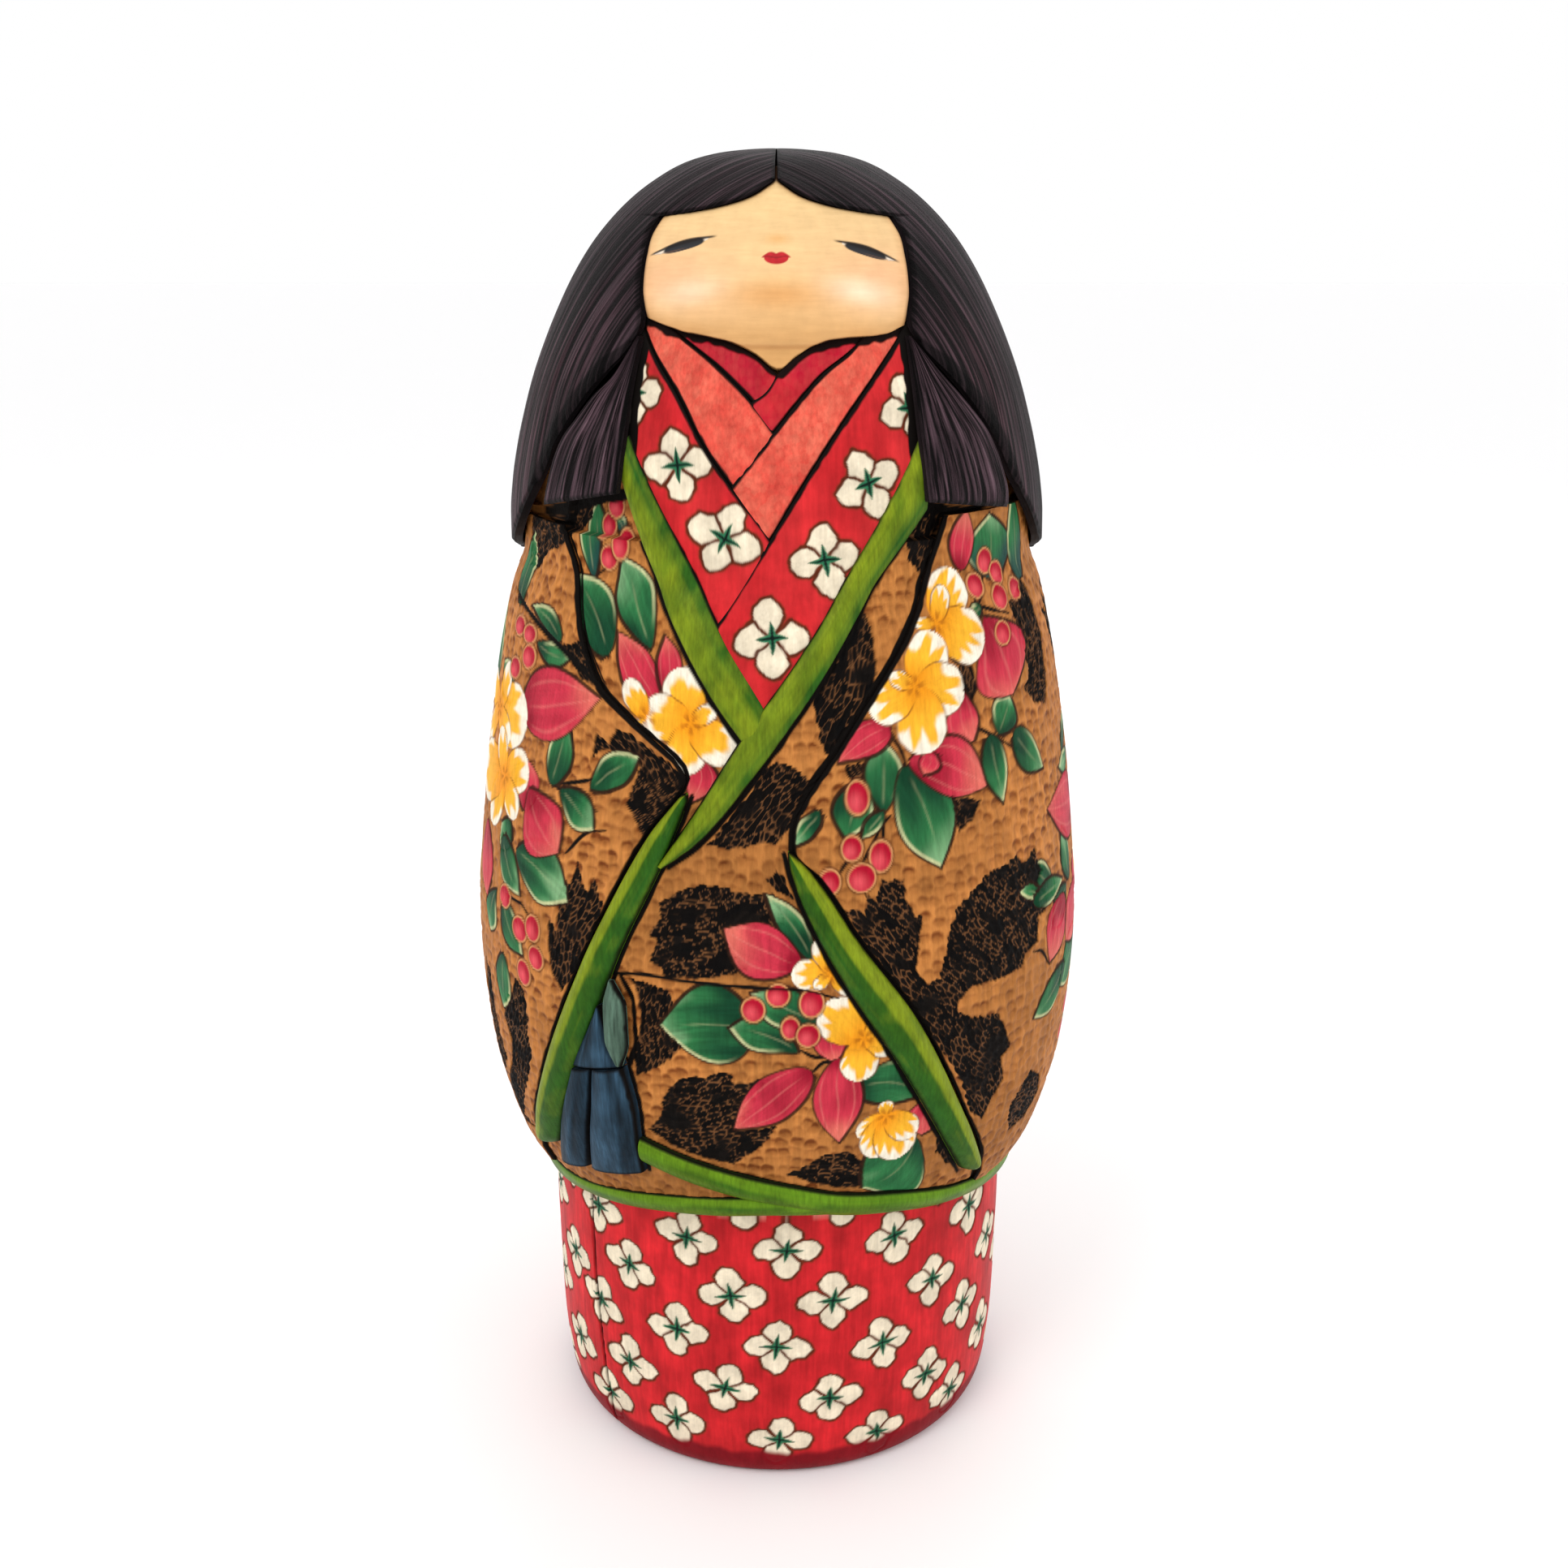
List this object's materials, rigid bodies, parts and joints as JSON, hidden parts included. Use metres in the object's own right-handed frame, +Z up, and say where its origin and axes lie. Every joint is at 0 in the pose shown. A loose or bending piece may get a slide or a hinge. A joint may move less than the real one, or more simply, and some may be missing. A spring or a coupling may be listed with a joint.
{
  "type": "kokeshi doll",
  "caption": "Turned and carved wooden doll with long dark hair, layered kimono collars, a flowered coat with raised sleeve edges and a patterned skirt base.",
  "frame": {"origin": "centre of the flat foot of the skirt block, on the surface the doll stands on", "axes": "+Z up along the turning axis; the face looks along -Y; +X is the viewer's right"},
  "size_m": [0.1154, 0.1143, 0.24],
  "materials": {
    "hair_black": "black stain, satin, V-cut strands",
    "face_wood": "bare pale wood, waxed",
    "coat_brown": "tan stain, gouged dimples, waxed",
    "trim_green": "green stain, satin",
    "kimono_red": "red stain, satin",
    "collar_coral": "mottled coral stain, satin",
    "collar_crimson": "crimson stain, satin",
    "tassel_blue": "dark blue stain, satin, grooved",
    "knot_green": "grey-green stain, satin",
    "bare_wood": "bare turned dowel"
  },
  "bodies": {
    "root": {"hair_back": "hair_black", "hair_lock_left": "hair_black", "hair_lock_right": "hair_black", "head_block": "face_wood", "coat_body": "coat_brown", "sleeve_left": "coat_brown", "sleeve_right": "coat_brown", "sleeve_bead_left": "trim_green", "sleeve_bead_right": "trim_green", "coat_collar_left": "trim_green", "coat_collar_right": "trim_green", "hem_band_left": "trim_green", "hem_band_right": "trim_green", "collar_outer_left": "kimono_red", "collar_outer_right": "kimono_red", "collar_middle_left": "collar_coral", "collar_middle_right": "collar_coral", "collar_inner_left": "collar_crimson", "collar_inner_right": "collar_crimson", "tassel_knot": "knot_green", "tassel_cap": "tassel_blue", "tassel_skirt": "tassel_blue", "skirt_block": "kimono_red", "dowel_lower": "bare_wood", "dowel_upper": "bare_wood"}
  },
  "joints": []
}
